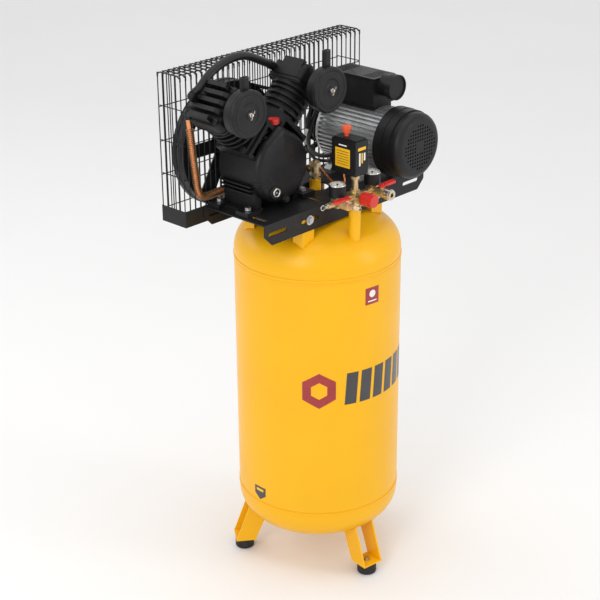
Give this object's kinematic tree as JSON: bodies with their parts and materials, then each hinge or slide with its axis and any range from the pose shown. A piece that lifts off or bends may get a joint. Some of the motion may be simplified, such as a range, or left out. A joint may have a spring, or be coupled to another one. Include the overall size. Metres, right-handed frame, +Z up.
{
  "type": "vertical tank air compressor",
  "caption": "Upright air compressor: V-twin pump, electric motor and wire belt guard on a bed plate above a yellow tank on legs, with pressure switch, gauges and outlet valves.",
  "frame": {"origin": "on the floor, at the middle of the overall length and depth", "axes": "+Z up, -Y the operator's side with the valves and filters, +Y the belt guard's side, +X towards the motor end"},
  "size_m": [0.6276, 0.4201, 1.3132],
  "materials": {
    "tank_yellow": "gloss yellow enamel",
    "black_steel": "satin black paint",
    "bolt_steel": "zinc plated",
    "black_wire": "black powder coat on wire",
    "cast_black": "black painted casting",
    "rubber": "matt rubber",
    "bright_steel": "ground steel",
    "plate_metal": "machined",
    "motor_alloy": "die cast, sand textured",
    "winding": "laminations and varnished windings",
    "black_plastic": "moulded black plastic",
    "paper": "pleated filter paper",
    "hose_rubber": "smooth black hose",
    "copper": "drawn copper tube",
    "brass": "machined brass",
    "nickel": "nickel plated",
    "red_plastic": "moulded red plastic",
    "orange_plastic": "moulded orange-red plastic",
    "cable": "black cable sheath"
  },
  "bodies": {
    "stand": {"tank_shell": "tank_yellow", "tank_heads": "tank_yellow", "legs": "tank_yellow", "rubber_feet": "rubber", "bed_brackets": "tank_yellow", "tank_risers": "tank_yellow", "bed_plate": "black_steel", "frame_bolts": "bolt_steel", "guard_strip": "black_steel", "guard_front": "black_wire", "guard_back": "black_wire", "guard_top": "black_wire", "guard_ends": "black_wire", "crankcase": "cast_black", "crankcase_cover": "cast_black", "ball_bearings": "bright_steel", "cylinders": "cast_black", "valve_plates": "plate_metal", "cylinder_heads": "cast_black", "pump_bolts": "bolt_steel", "filter_housings": "black_plastic", "filter_covers": "black_plastic", "filter_elements": "paper", "filter_wing_nuts": "bolt_steel", "crossover_hose": "hose_rubber", "hose_fittings": "bolt_steel", "discharge_tube": "copper", "check_valve": "brass", "unloader_tube": "copper", "oil_cap": "red_plastic", "oil_fittings": "nickel", "motor_frame": "motor_alloy", "motor_stator": "winding", "motor_shields": "motor_alloy", "fan_cover": "black_steel", "terminal_box": "black_plastic", "motor_cable": "cable", "v_belt": "rubber", "switch_base": "black_plastic", "switch_cover": "black_plastic", "manifold": "brass", "gauge_cases": "black_plastic", "outlet_valves": "brass", "safety_valve": "brass", "tank_drain": "brass"},
    "crank": {"crankshaft": "bright_steel", "flywheel": "cast_black"},
    "motor_spindle": {"motor_rotor": "bright_steel", "motor_pulley": "cast_black", "motor_fan": "black_plastic"},
    "piston_left": {"piston_left": "plate_metal"},
    "piston_right": {"piston_right": "plate_metal"},
    "switch_knob": {"switch_knob": "orange_plastic"},
    "regulator_knob": {"regulator_knob": "red_plastic"},
    "lever_left": {"lever_left": "red_plastic"},
    "lever_right": {"lever_right": "red_plastic"},
    "needle_left": {"needle_left": "black_plastic"},
    "needle_right": {"needle_right": "black_plastic"},
    "safety_ring": {"safety_ring": "nickel"},
    "coupler_sleeve": {"coupler_sleeve": "nickel"}
  },
  "joints": [
    {"name": "flywheel_spin", "type": "hinge", "parent": "stand", "child": "crank", "pos_m": [-0.12073, 0.1484, 1.085], "axis": [0, 1, 0], "continuous": true},
    {"name": "motor_spin", "type": "hinge", "parent": "stand", "child": "motor_spindle", "pos_m": [0.21127, 0.1484, 1.061], "axis": [0, 1, 0], "continuous": true},
    {"name": "piston_left_slide", "type": "slide", "parent": "stand", "child": "piston_left", "axis": [-0.7071, 0, 0.7071], "range_m": [-0.038, 0.008]},
    {"name": "piston_right_slide", "type": "slide", "parent": "stand", "child": "piston_right", "axis": [0.7071, 0, 0.7071], "range_m": [-0.038, 0.008]},
    {"name": "switch_pull", "type": "slide", "parent": "stand", "child": "switch_knob", "axis": [0, 0, 1], "range_m": [-0.006, 0]},
    {"name": "regulator_turn", "type": "hinge", "parent": "stand", "child": "regulator_knob", "pos_m": [0.00327, -0.1816, 0.991], "axis": [0, -1, 0], "range_deg": [-540, 540]},
    {"name": "lever_left_turn", "type": "hinge", "parent": "stand", "child": "lever_left", "pos_m": [-0.05573, -0.1716, 1.007], "axis": [0, 0, 1], "range_deg": [0, 90]},
    {"name": "lever_right_turn", "type": "hinge", "parent": "stand", "child": "lever_right", "pos_m": [0.06227, -0.1716, 1.007], "axis": [0, 0, 1], "range_deg": [-90, 0]},
    {"name": "needle_left_turn", "type": "hinge", "parent": "stand", "child": "needle_left", "pos_m": [-0.05573, -0.1416, 1.034], "axis": [0, 0, -1], "range_deg": [0, 270]},
    {"name": "needle_right_turn", "type": "hinge", "parent": "stand", "child": "needle_right", "pos_m": [0.06227, -0.1416, 1.034], "axis": [0, 0, -1], "range_deg": [0, 270]},
    {"name": "safety_ring_pull", "type": "slide", "parent": "stand", "child": "safety_ring", "axis": [-1, 0, 0], "range_m": [0, 0.003], "stiffness_N_per_m": 300},
    {"name": "coupler_slide", "type": "slide", "parent": "stand", "child": "coupler_sleeve", "axis": [0, 1, 0], "range_m": [0, 0.004], "stiffness_N_per_m": 600}
  ],
  "couplings": [
    {"joint": "motor_spin", "follows": "flywheel_spin", "ratio": 3.0426}
  ]
}
